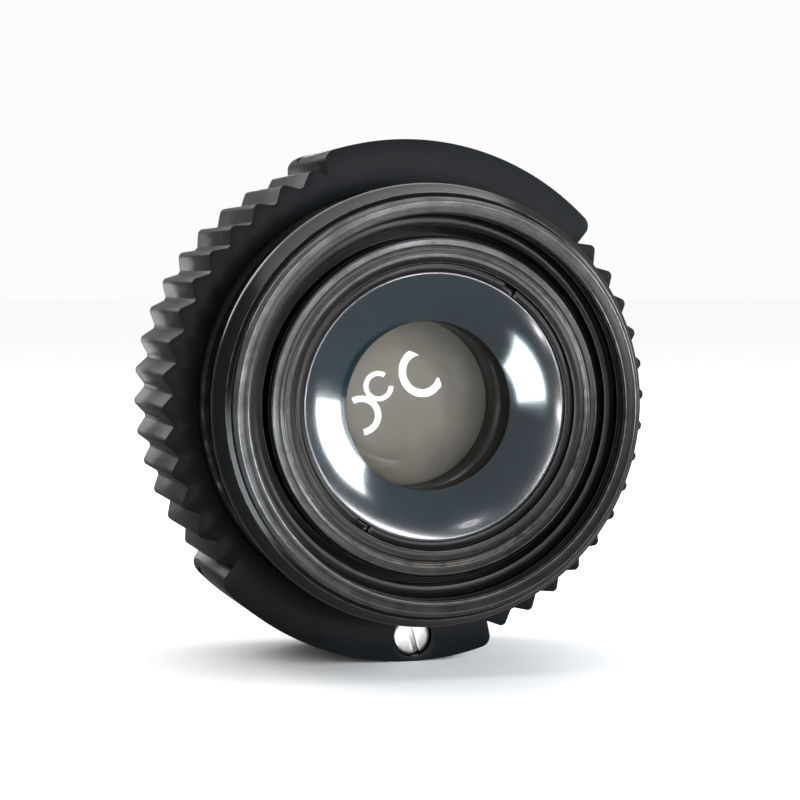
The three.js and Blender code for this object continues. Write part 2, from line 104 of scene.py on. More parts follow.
CONE_THROAT = 2.0  # from the cone's wide end to its throat
SET_SCREW_LEVEL = PLATE_FRONT - 4.2
LUG_SCREW_HOLE = 1.65  # radius of the hole for the lug screw's head
LUG_SCREW_EDGE = 0.35  # wall between that hole and the outside of the lug
OUTER_CURVE, CEMENT_CURVE, INNER_CURVE = 22, 24, 72  # radii of the lens faces
CROWN_RIM, FLINT_MIDDLE, CEMENT_HALF = 1.2, 0.8, 0.025  # thicknesses in a cemented pair
PLAY = 0.05  # gap between two fitted pieces


# ---- sizes and colours a user may change ----------------------------------------------------


def length_property(name, description, default, least=1):
    """One size a user may change."""
    return bpy.props.FloatProperty(name=name, description=description, default=default, min=least)


class EyepieceGripSizes(bpy.types.PropertyGroup):
    """Sizes of the dioptre ring, in millimetres."""

    lug_radius: length_property("Lug radius", "Outside of the two smooth lugs", 21.0)
    tip_radius: length_property("Tip radius", "Tips of the knurl's teeth", 20.0)
    root_radius: length_property("Root radius", "Bottom of the knurl's grooves", 19.15)
    bore_radius: length_property("Bore radius", "Rear opening around the neck", 17.2)
    front_rounding: length_property("Front rounding", "Radius of the ring's front edge", 2.3, 0.1)
    lug_rounding: length_property("Lug rounding", "Radius of each lug's corners", 0.9, 0.1)
    pitches: bpy.props.IntProperty(
        name="Pitches", description="Tooth pitches in a whole turn", default=48, min=8
    )
    lug_pitches: bpy.props.IntProperty(
        name="Lug pitches", description="Tooth pitches taken up by one lug", default=9, min=1
    )
    rest_turn: bpy.props.FloatProperty(
        name="Rest turn", description="Turn of the lugs from upright",
        default=math.radians(-14), subtype="ANGLE",
    )


class EyepieceFineness(bpy.types.PropertyGroup):
    """How finely the pieces are made."""

    steps: bpy.props.IntProperty(
        name="Steps round", description="Faces round a turned piece", default=192, min=24
    )
    edge: length_property("Edge break", "Width of a broken edge, in millimetres", 0.09, 0.01)


def colour_property(name, description, default):
    """One colour a user may change."""
    return bpy.props.FloatVectorProperty(
        name=name, description=description, subtype="COLOR", size=3, default=default, min=0, max=1
    )


class EyepieceColours(bpy.types.PropertyGroup):
    """Colours of the finishes."""

    barrel: colour_property("Barrel", "Gloss black of the barrel", (0.002, 0.0022, 0.0026))
    grip: colour_property("Grip", "Satin black of the dioptre ring", (0.0026, 0.0038, 0.0048))
    # painted light: the face plate is the grip's black painted lighter, for the light falling on its
    # flat face
    face: colour_property("Face plate", "Slate of the face plate", (0.0115, 0.0185, 0.0195))
    turned: colour_property("Turned grey", "Turned metal of the helicoid ring", (0.2, 0.205, 0.21))
    cone: colour_property("Cone", "Glossy cone round the rear lens", (0.0012, 0.0085, 0.0135))
    glass: colour_property("Glass", "What shows through the coated lenses", (0.2, 0.195, 0.165))
    floor: colour_property("Floor", "Floor and backdrop", (0.9, 0.9, 0.9))


# ---- shader maths ---------------------------------------------------------------------------


class Finish:
    """One material and its nodes."""

    def __init__(self, name):
        self.material = bpy.data.materials.new(name)
        self.material.use_nodes = True
        self.tree = self.material.node_tree
        self.tree.nodes.clear()
        self.output = self.tree.nodes.new("ShaderNodeOutputMaterial")

    def node(self, kind, settings=None, **inputs):
        """A node with its settings, then its sockets' values or links, named with _ for a space."""
        made = self.tree.nodes.new(kind)
        for name, value in (settings or {}).items():
            if name == "stops":
                self.set_stops(made.color_ramp, value)
            else:
                setattr(made, name, value)
        for name, value in inputs.items():
            key = int(name[1:]) if name[0] == "i" and name[1:].isdigit() else name.replace("_", " ")
            self.feed(made.inputs[key], value)
        return made

    def feed(self, socket, value):
        """Sets or links one socket."""
        if isinstance(value, Wire):
            self.tree.links.new(value.socket, socket)
        else:
            socket.default_value = value

    @staticmethod
    def set_stops(ramp, stops):
        """Lays a ramp's stops: (position, grey or colour)."""
        while len(ramp.elements) > 1:
            ramp.elements.remove(ramp.elements[-1])
        for i, (position, value) in enumerate(stops):
            stop = ramp.elements[0] if i == 0 else ramp.elements.new(position)
            stop.position = position
            colour = (value,) * 3 if isinstance(value, (int, float)) else value
            stop.color = (*colour, 1)

    def wire(self, node, output=0):
        return Wire(self, node.outputs[output])

    def math(self, operation, *values):
        """A Math node's result."""
        sockets = {f"i{i}": value for i, value in enumerate(values)}
        return self.wire(self.node("ShaderNodeMath", {"operation": operation}, **sockets))

    def ramp(self, value, stops):
        """A value through a colour ramp."""
        return self.wire(self.node("ShaderNodeValToRGB", {"stops": stops}, Fac=value))

    def mix(self, share, first, second):
        """Two colours mixed."""
        made = self.node("ShaderNodeMix", {"data_type": "RGBA"}, i0=share)
        for index, value in ((6, first), (7, second)):
            self.feed(made.inputs[index], value if isinstance(value, Wire) else (*value, 1))
        return self.wire(made, 2)

    def place(self):
        """Place on the piece, in millimetres."""
        coordinates = self.wire(self.node("ShaderNodeTexCoord"), "Object")
        scaled = self.node(
            "ShaderNodeVectorMath", {"operation": "SCALE"}, i0=coordinates, Scale=1.0 / MM
        )
        return self.wire(scaled)

    def polar(self):
        """(radius, depth, angle) round the optical axis, in millimetres and radians."""
        split = self.node("ShaderNodeSeparateXYZ", i0=self.place())
        x, y, z = (self.wire(split, i) for i in range(3))
        radius = self.math("SQRT", x * x + z * z)
        return radius, y * -1.0, self.math("ARCTAN2", z, x)

    def noise(self, place, scale, detail=3.0, roughness=0.55):
        made = self.node(
            "ShaderNodeTexNoise", Vector=place, Scale=scale, Detail=detail, Roughness=roughness
        )
        return self.wire(made)

    def tool_marks(self, fineness):
        """Fine rings left by turning, from 0 to 1."""
        radius, depth, angle = self.polar()
        waver = self.math("SINE", angle * 2.0) * 0.02
        line = self.wire(self.node("ShaderNodeCombineXYZ", X=radius + waver, Y=depth, Z=0.0))
        return self.noise(line, fineness, 4.0, 0.7)

    def broken_edge(self):
        """1 on broken edges and 0 elsewhere, where scuffing and a painted edge highlight go."""
        made = self.node("ShaderNodeAttribute", {"attribute_name": "edge"})
        return self.wire(made, "Fac")

    def bump(self, height, strength, distance=0.00005):
        made = self.node("ShaderNodeBump", Height=height, Strength=strength, Distance=distance)
        return self.wire(made)

    def surface(self, **inputs):
        """The Principled shader, and the end of the material."""
        shader = self.node("ShaderNodeBsdfPrincipled", **inputs)
        self.tree.links.new(shader.outputs[0], self.output.inputs["Surface"])
        return self.material


class Wire:
    """A socket's value in an expression."""

    def __init__(self, finish, socket):
        self.finish = finish
        self.socket = socket

    def __add__(self, other):
        return self.finish.math("ADD", self, other)

    def __sub__(self, other):
        return self.finish.math("SUBTRACT", self, other)

    def __rsub__(self, other):
        return self.finish.math("SUBTRACT", other, self)

    def __mul__(self, other):
        return self.finish.math("MULTIPLY", self, other)

    def clipped(self):
        """Kept between 0 and 1."""
        return self.finish.math("MAXIMUM", self.finish.math("MINIMUM", self, 1.0), 0.0)


def shade(colour, factor):
    """A colour made lighter or darker."""
    return tuple(min(1.0, part * factor) for part in colour)


def gloss_black(name, colour, wear_and_highlight=0.5, bare=None):
    """Gloss black anodising with turning marks, smears, and scuffed edges that carry a painted
    highlight.

    A bare band (inner radius, outer radius, depth) is turned metal between two radii, up to a depth,
    and is painted brighter on one side and fainter on the other, as painted light from that side.
    """
    dust, rubbed_metal_highlight, turned_band = (0.1, 0.095, 0.09), (0.17, 0.15, 0.13), (0.135, 0.142, 0.143)
    finish = Finish(name)
    place = finish.place()
    smears = finish.noise(place, 0.35, 4.0)
    marks = finish.tool_marks(5.0)
    speck = finish.ramp(finish.noise(place, 3.2, 5.0, 0.7), [(0.60, 0.0), (0.72, 1.0)])
    # broken edges lighter and more metallic: partly scuffing, partly a painted highlight
    rubbed_and_lit = finish.broken_edge() * finish.ramp(finish.noise(place, 1.3), [(0.35, 0.2), (0.65, 1.0)])
    worn_lit_edge = (rubbed_and_lit * wear_and_highlight).clipped()
    base = finish.mix(smears, colour, shade((colour[0], colour[1] * 0.9, colour[2] * 0.85), 1.6))
    painted = finish.mix(worn_lit_edge, finish.mix(speck * 0.04, base, dust), rubbed_metal_highlight)
    metal = worn_lit_edge * 0.7
    if bare:
        radius, depth, angle = finish.polar()
        inner, outer, reach = bare
        inside = (
            ((radius - inner) * BAND_EDGE).clipped() * ((outer - radius) * BAND_EDGE).clipped()
        )
        patches = finish.ramp(finish.noise(place, 0.45, 5.0, 0.7), [(0.34, 0.35), (0.6, 1.0)])
        streaks = finish.ramp(finish.tool_marks(2.2), [(0.4, 0.05), (0.58, 1.0)]) * patches
        # painted light: the bare band is brightest on one side and fades out on the other
        painted_lit_side = (finish.math("COSINE", angle - 0.6) * 0.5 + 0.55).clipped()
        band = inside * ((reach - depth) * BAND_EDGE).clipped() * streaks * painted_lit_side
        painted = finish.mix(band, painted, turned_band)
        metal = (metal + band * 0.6).clipped()
    rough = (smears * 0.16 + marks * 0.12 + speck * 0.12 + 0.06).clipped()
    return finish.surface(
        Base_Color=painted, Roughness=rough, Metallic=metal, Specular_IOR_Level=0.24,
        Normal=finish.bump(marks, 0.25, 0.00002),
    )


def satin_black(name, colour, wear_and_highlight=0.3):
    """Satin black anodising over fine blasting, with dust in it and lightly scuffed edges that carry a
    painted highlight.
    """
    dust_colour, rubbed_metal_highlight = (0.07, 0.08, 0.09), (0.085, 0.083, 0.078)
    finish = Finish(name)
    place = finish.place()
    cloud = finish.noise(place, 0.25, 4.0)
    grain = finish.noise(place, 9.0, 3.0, 0.6)
    dust = finish.ramp(finish.noise(place, 2.3, 6.0, 0.75), [(0.58, 0.0), (0.74, 1.0)])
    # broken edges lighter: partly scuffing, partly a painted highlight
    worn_lit_edge = finish.broken_edge() * finish.ramp(finish.noise(place, 1.1), [(0.38, 0.15), (0.66, 1.0)])
    base = finish.mix(cloud, shade(colour, 0.75), shade(colour, 1.8))
    dusty = finish.mix(dust * 0.045, base, dust_colour)
    painted = finish.mix((worn_lit_edge * wear_and_highlight).clipped(), dusty, rubbed_metal_highlight)
    rough = (cloud * 0.16 + grain * 0.12 + dust * 0.15 + 0.24).clipped()
    return finish.surface(
        Base_Color=painted, Roughness=rough, Metallic=(worn_lit_edge * wear_and_highlight * 0.6).clipped(),
        Specular_IOR_Level=0.1, Normal=finish.bump(grain, 0.25, 0.00003),
    )


def painted_lit_face_satin(name, colour):
    """Fine grained satin paint of the face plate, painted lighter than the grip's black as painted
    light on its flat face, cloudy, and scuffed at its rim with a painted highlight there.
    """
    fleck, rubbed_paint_highlight = (0.13, 0.15, 0.15), (0.14, 0.16, 0.17)
    finish = Finish(name)
    place = finish.place()
    cloud = finish.ramp(finish.noise(place, 0.42, 5.0, 0.7), [(0.32, 0.0), (0.68, 1.0)])
    grain = finish.ramp(finish.noise(place, 4.2, 6.0, 0.8), [(0.36, 0.0), (0.64, 1.0)])
    flecks = finish.ramp(finish.noise(place, 3.1, 6.0, 0.85), [(0.58, 0.0), (0.68, 1.0)])
    # the rim's broken edges lighter: partly scuffing, partly a painted highlight
    worn_lit_edge = finish.broken_edge() * finish.ramp(finish.noise(place, 0.9), [(0.3, 0.3), (0.6, 1.0)])
    cool = (colour[0] * 0.55, colour[1] * 0.7, colour[2] * 0.72)
    warm = (colour[0] * 1.5, colour[1] * 1.15, colour[2] * 1.3)
    base = finish.mix(cloud, cool, warm)
    grained = finish.mix(grain * 0.5, base, shade(colour, 2.3))
    flecked = finish.mix(flecks * 0.07, grained, fleck)
    painted = finish.mix((worn_lit_edge * 0.4).clipped(), flecked, rubbed_paint_highlight)
    rough = (grain * 0.22 + cloud * 0.1 + 0.42).clipped()
    return finish.surface(
        Base_Color=painted, Roughness=rough, Metallic=(worn_lit_edge * 0.3).clipped(),
        Specular_IOR_Level=0.06, Normal=finish.bump(grain, 0.5, 0.00004),
    )


def turned_metal(name, colour):
    """Turned metal with concentric tool marks, stains, and bright broken edges from scuffing and a
    painted highlight.
    """
    worn_edge_highlight = (0.62, 0.61, 0.6)
    finish = Finish(name)
    place = finish.place()
    marks = finish.tool_marks(3.5)
    fine = finish.tool_marks(11.0)
    stains = finish.noise(place, 0.5, 5.0, 0.65)
    # broken edges brighter: partly scuffing, partly a painted highlight
    worn_lit_edge = finish.broken_edge() * finish.ramp(finish.noise(place, 1.5), [(0.3, 0.35), (0.6, 1.0)])
    base = finish.mix(marks, shade(colour, 0.55), shade(colour, 1.35))
    spread = finish.ramp(stains, [(0.45, 0.0), (0.7, 1.0)])
    stained = finish.mix(spread * 0.5, base, shade(colour, 0.35))
    painted = finish.mix((worn_lit_edge * 0.8).clipped(), stained, worn_edge_highlight)
    rough = (marks * 0.2 + stains * 0.14 + 0.2).clipped()
    return finish.surface(
        Base_Color=painted, Roughness=rough, Metallic=0.75,
        Normal=finish.bump(marks * 0.6 + fine * 0.4, 0.4, 0.00003),
    )


def polished_cone(name, colour):
    """Glossy dark cone that mirrors the lamps, with faint turning marks and a throat painted dull
    black as painted shade in the hole.
    """
    worn_edge_highlight, throat_painted_shade = (0.2, 0.23, 0.26), (0.0012, 0.0012, 0.0014)
    finish = Finish(name)
    place = finish.place()
    marks = finish.tool_marks(6.0)
    haze = finish.noise(place, 0.4, 4.0)
    # broken edges lighter: partly scuffing, partly a painted highlight
    worn_lit_edge = finish.broken_edge()
    depth = finish.polar()[1]
    # painted shade: past the throat the cone is near black, rougher and metallic, so it mirrors almost
    # nothing
    throat = ((depth - CONE_REAR - (CONE_THROAT - PLAY)) * BAND_EDGE).clipped()
    base = finish.mix(haze, shade(colour, 0.8), shade(colour, 1.5))
    edged = finish.mix((worn_lit_edge * 0.4).clipped(), base, worn_edge_highlight)
    painted = finish.mix(throat, edged, throat_painted_shade)
    return finish.surface(
        Base_Color=painted, Roughness=(haze * 0.1 + marks * 0.06 + throat * 0.4 + 0.08).clipped(),
        Metallic=throat, IOR=1.9, Coat_Weight=(1.0 - throat).clipped(), Coat_Roughness=0.08,
        Normal=finish.bump(marks, 0.12, 0.00002),
    )


def coated_glass(name, colour, reflection_tint):
    """Polished coated lens: a dim warm inside, with a painted reflection in the coating's colour at
    one side of the rim.
    """
    speck_white = (0.5, 0.5, 0.48)
    finish = Finish(name)
    place = finish.place()
    radius = finish.polar()[0]
    haze = finish.noise(place, 0.3, 3.0)
    specks = finish.ramp(finish.noise(place, 5.0, 2.0), [(0.72, 0.0), (0.78, 1.0)])
    split = finish.node("ShaderNodeSeparateXYZ", i0=place)
    # painted reflection: the coating's colour goes only near the rim, on the side towards +x and -z
    painted_reflection_side = ((finish.wire(split, 0) - finish.wire(split, 2) - 5.9) * 0.5).clipped()
    painted_rim_reflection = finish.ramp(radius * (1.0 / CLEAR_RADIUS), [(0.7, 0.0), (0.82, 1.0)]) * painted_reflection_side
    base = finish.mix(haze, shade(colour, 0.85), shade(colour, 1.2))
    rim_reflection_painted = finish.mix((painted_rim_reflection * 0.9).clipped(), base, reflection_tint)
    dusty = finish.mix(specks * 0.15, rim_reflection_painted, speck_white)
    return finish.surface(
        Base_Color=dusty, Roughness=(specks * 0.2 + haze * 0.02 + 0.02).clipped(), Metallic=0.0,
        IOR=1.55, Coat_Weight=1.0, Coat_Roughness=0.02,
    )


def bright_steel(name, colour=(0.9, 0.9, 0.89), rough_from=0.22):
    """Screw steel with fine scratches, dull stains, and bright edges from scuffing and a painted
    highlight.
    """
    worn_edge_highlight = (0.93, 0.93, 0.93)
    finish = Finish(name)
    place = finish.place()
    scratch = finish.noise(place, 7.0, 5.0, 0.7)
    stains = finish.noise(place, 1.4, 4.0)
    # broken edges brighter: partly scuffing, partly a painted highlight
    worn_lit_edge = finish.broken_edge()
    base = finish.mix(stains, shade(colour, 0.7), colour)
    painted = finish.mix((worn_lit_edge * 0.7).clipped(), base, worn_edge_highlight)
    rough = (scratch * 0.18 + stains * 0.1 + rough_from).clipped()
    return finish.surface(
        Base_Color=painted, Roughness=rough, Metallic=1.0, Normal=finish.bump(scratch, 0.25, 0.00003)
    )


def rubber(name):
    """Matte seal rubber with a little grease on it."""
    finish = Finish(name)
    place = finish.place()
    grain = finish.noise(place, 6.0, 4.0)
    grease = finish.ramp(finish.noise(place, 0.7), [(0.45, 0.0), (0.65, 1.0)])
    base = finish.mix(grain, (0.008, 0.008, 0.008), (0.022, 0.021, 0.02))
    rough = (0.75 - grease * 0.35).clipped()
    return finish.surface(Base_Color=base, Roughness=rough, Normal=finish.bump(grain, 0.3, 0.00004))


# ---- shaping --------------------------------------------------------------------------------


def fineness():
    return bpy.context.scene.eyepiece_fineness


def new_object(name, shape):
    """A scene object from a bmesh, which is freed."""
    mesh = bpy.data.meshes.new(name)
    shape.to_mesh(mesh)
    shape.free()
    made = bpy.data.objects.new(name, mesh)
    bpy.context.scene.collection.objects.link(made)
    return made


def tidy_shape(shape):
    """Merges doubles and points every face outwards."""
    bmesh.ops.remove_doubles(shape, verts=shape.verts, dist=MERGE)
    bmesh.ops.recalc_face_normals(shape, faces=shape.faces)


def to_row(shape):
    """From the depth frame, which grows towards the eye, to the row frame."""
    bmesh.ops.rotate(shape, verts=shape.verts, cent=(0, 0, 0), matrix=Matrix.Rotation(math.pi, 3, "Z"))


def chain(shape, section, closed):
    """Edges along (radius, depth) corners, in millimetres."""
    corners = [shape.verts.new((r * MM, d * MM, 0)) for r, d in section]
    edges = [shape.edges.new(pair) for pair in zip(corners, corners[1:])]
    if closed:
        edges.append(shape.edges.new((corners[-1], corners[0])))
    return corners + edges


def turned(name, section, closed=True, steps=None):
    """A turned piece from its section."""
    shape = bmesh.new()
    outline = chain(shape, section, closed)
    bmesh.ops.spin(
        shape, geom=outline, cent=(0, 0, 0), axis=(0, 1, 0), angle=2 * math.pi,
        steps=steps or fineness().steps, use_merge=True,
    )
    tidy_shape(shape)
    to_row(shape)
    return new_object(name, shape)


def bar(radius, length, place, direction, angle, sides=48):
    """A round tool, in millimetres, lying along the depth axis or pointing outwards."""
    shape = bmesh.new()
    bmesh.ops.create_cone(
        shape, cap_ends=True, segments=sides, radius1=radius * MM, radius2=radius * MM,
        depth=length * MM,
    )
    lie = Matrix.Rotation(math.pi / 2, 3, "X" if direction == "depth" else "Y")
    bmesh.ops.rotate(shape, verts=shape.verts, cent=(0, 0, 0), matrix=lie)
    return swing(shape, place, angle)


def brick(size, place, angle, twist=0.0):
    """A box tool, in millimetres: outwards, along the depth, across."""
    shape = bmesh.new()
    bmesh.ops.create_cube(shape, size=1)
    bmesh.ops.scale(shape, verts=shape.verts, vec=[part * MM for part in size])
    bmesh.ops.rotate(shape, verts=shape.verts, cent=(0, 0, 0), matrix=Matrix.Rotation(twist, 3, "Y"))
    return swing(shape, place, angle)


def swing(shape, place, angle):
    """Puts a tool at (distance, depth) and swings it round the optical axis."""
    bmesh.ops.translate(shape, verts=shape.verts, vec=(place[0] * MM, place[1] * MM, 0))
    bmesh.ops.rotate(shape, verts=shape.verts, cent=(0, 0, 0), matrix=Matrix.Rotation(-angle, 3, "Y"))
    to_row(shape)
    return new_object("tool", shape)


def bake(piece):
    """Applies a piece's modifiers to its mesh."""
    bpy.context.view_layer.update()
    seen = piece.evaluated_get(bpy.context.evaluated_depsgraph_get())
    mesh = bpy.data.meshes.new_from_object(seen)
    piece.modifiers.clear()
    old, piece.data = piece.data, mesh
    bpy.data.meshes.remove(old)


def carve(piece, tool, operation="DIFFERENCE"):
    """Cuts a piece with a tool, or keeps what they share, and drops the tool."""
    work = piece.modifiers.new("carve", "BOOLEAN")
    work.operation = operation
    work.solver = "EXACT"
    work.object = tool
    bake(piece)
    bpy.data.objects.remove(tool)
    if not piece.data.polygons:
        raise RuntimeError(f"{piece.name} was left empty by a cut")


def finish_piece(piece, material, body, stands_for, edge=None):
    """Breaks the sharp edges, smooths the rest, and ties the piece to its body."""
    shape = bmesh.new()
    shape.from_mesh(piece.data)
    bmesh.ops.remove_doubles(shape, verts=shape.verts, dist=MERGE)
    width = (fineness().edge if edge is None else edge) * MM
    layer = shape.loops.layers.float.new("edge")
    if width:
        sharp = [
            e for e in shape.edges if len(e.link_faces) == 2 and e.calc_face_angle(0) > SHARP
        ]
        made = bmesh.ops.bevel(
            shape, geom=sharp, offset=width, offset_type="OFFSET", affect="EDGES", segments=2,
            profile=0.5, material=-1, clamp_overlap=True,
        )
        for face in made["faces"]:
            if face.is_valid:
                for loop in face.loops:
                    loop[layer] = 1.0
    for face in shape.faces:
        face.smooth = True
    shape.to_mesh(piece.data)
    shape.free()
    piece.data.set_sharp_from_angle(angle=CREASE)
    piece.data.materials.clear()
    piece.data.materials.append(material)
    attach(piece, body)
    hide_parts(*stands_for)
    return piece


def paint(nodes, material):
    """A finish on mechanical pieces that keep their own shape."""
    for node in nodes:
        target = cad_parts[node]
        if not target.material_slots:
            target.data.materials.append(material)
        for place in target.material_slots:
            place.link = "OBJECT"
            place.material = material


def rounded(centre, radius, start, end, steps=8):
    """(radius, depth) corners round a centre, between two angles in degrees."""
    corners = []
    for i in range(steps + 1):
        angle = math.radians(start + (end - start) * i / steps)
        corners.append((centre[0] + radius * math.cos(angle), centre[1] + radius * math.sin(angle)))
    return corners


# ---- fixed barrel ---------------------------------------------------------------------------


class EYEPIECE_OT_flange(bpy.types.Operator):
    """Make the mount flange with its rounded lip and threaded bore"""

    bl_idname = "eyepiece.flange"
    bl_label = "Mount Flange"

    def execute(self, context):
        bore, spigot_bore, seat, front = 14.85, 14.95, 16.1, 5.4
        thread_end, pitch, thread_depth = 1.9, 0.5, 0.28
        lip_level, lip_rounding = 3.2, 1.0
        threads = []
        for turn in range(3):
            threads += [
                (bore, thread_end - 0.3 - turn * pitch),
                (bore + thread_depth, thread_end - 0.55 - turn * pitch),
            ]
        section = [
            (15.8, 0), (seat, 0.3), (seat, 1.2), (16.5, 1.3),
            *rounded((FLANGE_RADIUS - lip_rounding, lip_level), lip_rounding, -50, 60),
            (16.7, 4.8), (16.4, front), (spigot_bore, front), (spigot_bore, thread_end),
            (bore, thread_end), *threads[:-1], (bore, 0.15), (15.0, 0),
        ]
        piece = turned("flange", section)
        band = (14.9, seat, 0.35)
        material = gloss_black("barrel_gloss", context.scene.eyepiece_colours.barrel, 0.7, band)
        finish_piece(piece, material, "base", ["mount_flange"])
        return {"FINISHED"}


class EYEPIECE_OT_neck(bpy.types.Operator):
    """Make the neck sleeve between the flange and the dioptre ring"""

    bl_idname = "eyepiece.neck"
    bl_label = "Neck Sleeve"

    def execute(self, context):
        seal = (SEAL_REAR + SEAL_FRONT) / 2
        spigot, spigot_rear, shoulder, line_floor = 14.8, 2.1, 5.45, 16.42
        groove_half, groove_floor, clip_floor = 0.7, 15.3, 15.8
        clip_rear, clip_front = CLIP_REAR - PLAY, CLIP_FRONT + PLAY
        section = [
            (SLEEVE_BORE, spigot_rear), (spigot, spigot_rear), (spigot, shoulder),
            (NECK_RADIUS, shoulder), (NECK_RADIUS, 7.3), (line_floor, 7.38), (line_floor, 7.52),
            (NECK_RADIUS, 7.6), (NECK_RADIUS, seal - groove_half), (groove_floor, seal - groove_half),
            (groove_floor, seal + groove_half), (NECK_RADIUS, seal + groove_half),
            (NECK_RADIUS, clip_rear), (clip_floor, clip_rear), (clip_floor, clip_front),
            (NECK_RADIUS, clip_front), (NECK_RADIUS, NECK_FRONT), (SLEEVE_BORE, NECK_FRONT),
        ]
        piece = turned("neck", section)
        guide = (GUIDE_REAR + GUIDE_FRONT) / 2
        carve(piece, bar((GUIDE_FRONT - GUIDE_REAR) / 2 + 0.1, 6, (15, guide), "outwards", 0))
        pin_place = (HELICOID_RADIUS - 0.5, NECK_FRONT - 0.2)
        carve(piece, bar(0.6, 5, pin_place, "depth", math.pi / 2))
        material = gloss_black("neck_gloss", context.scene.eyepiece_colours.barrel, 0.5)
        finish_piece(piece, material, "base", ["neck_sleeve"], 0.05)
        return {"FINISHED"}


class EYEPIECE_OT_seals(bpy.types.Operator):
    """Make the two sealing rings and paint the face gasket"""

    bl_idname = "eyepiece.seals"
    bl_label = "Seals"

    def execute(self, context):
        material = rubber("seal_rubber")
        for name, node, body in (
            ("neck_o_ring", "neck_seal", "base"),
            ("cell_o_ring", "cell_seal", "lens_cell"),
        ):
            rear, front = depth_of(node)
            outer = top_of(node, 0)
            radius = (front - rear) / 2
            section = rounded((outer - radius, (rear + front) / 2), radius, 0, 345, 23)
            piece = turned(name, section)
            finish_piece(piece, material, body, [node], 0)
        paint(["face_gasket"], material)
        return {"FINISHED"}


class EYEPIECE_OT_inner_steel(bpy.types.Operator):
    """Paint the snap ring, stop pin and guide screw"""

    bl_idname = "eyepiece.inner_steel"
    bl_label = "Inner Steel Pieces"

    def execute(self, context):
        material = bright_steel("spring_steel", (0.3, 0.31, 0.33), 0.25)
        paint(["snap_ring", "stop_pin", "guide_screw"], material)
        return {"FINISHED"}


# ---- dioptre ring ---------------------------------------------------------------------------


def grip_outline(grip):
    """(x, z) corners of the grip seen from behind, in millimetres."""
    pitch = 2 * math.pi / grip.pitches
    half = grip.lug_pitches * pitch / 2
    middle_radius = grip.lug_radius - grip.lug_rounding
    turn = math.asin(grip.lug_rounding / middle_radius)
    corner_steps, arc_steps = 8, 40
    tooth_profile = (
        (grip.root_radius, 0.06), (grip.tip_radius - 0.05, 0.41), (grip.tip_radius, 0.47),
        (grip.tip_radius, 0.53), (grip.tip_radius - 0.05, 0.59), (grip.root_radius, 0.94),
    )
    corners = []

    def put(radius, angle):
        corners.append((radius * math.cos(angle), radius * math.sin(angle)))

    for middle in (math.pi / 2, 3 * math.pi / 2):
        for side in (-1, 1):
            spot = middle + side * (half - turn)
            for i in range(corner_steps + 1):
                share = i / corner_steps if side < 0 else 1 - i / corner_steps
                angle = spot + side * math.pi / 2 * (1 - share)
                corners.append((
                    middle_radius * math.cos(spot) + grip.lug_rounding * math.cos(angle),
                    middle_radius * math.sin(spot) + grip.lug_rounding * math.sin(angle),
                ))
            if side < 0:
                for i in range(1, arc_steps):
                    along = 2 * (half - turn) * i / arc_steps
                    put(grip.lug_radius, middle - (half - turn) + along)
        for tooth in range(grip.pitches // 2 - grip.lug_pitches):
            start = middle + half + tooth * pitch
            for radius, share in tooth_profile:
                put(radius, start + share * pitch)
    return corners


def grub_angles(grip):
    """Angles of the three set screws, seen from behind."""
    return [math.radians(angle) + grip.rest_turn for angle in (120, 240, 0)]


def lug_screw_place(grip):
    """(distance, angle) of the lug screw, in millimetres and seen from behind."""
    distance = grip.lug_radius - LUG_SCREW_EDGE - LUG_SCREW_HOLE
    return distance, math.radians(285) + grip.rest_turn


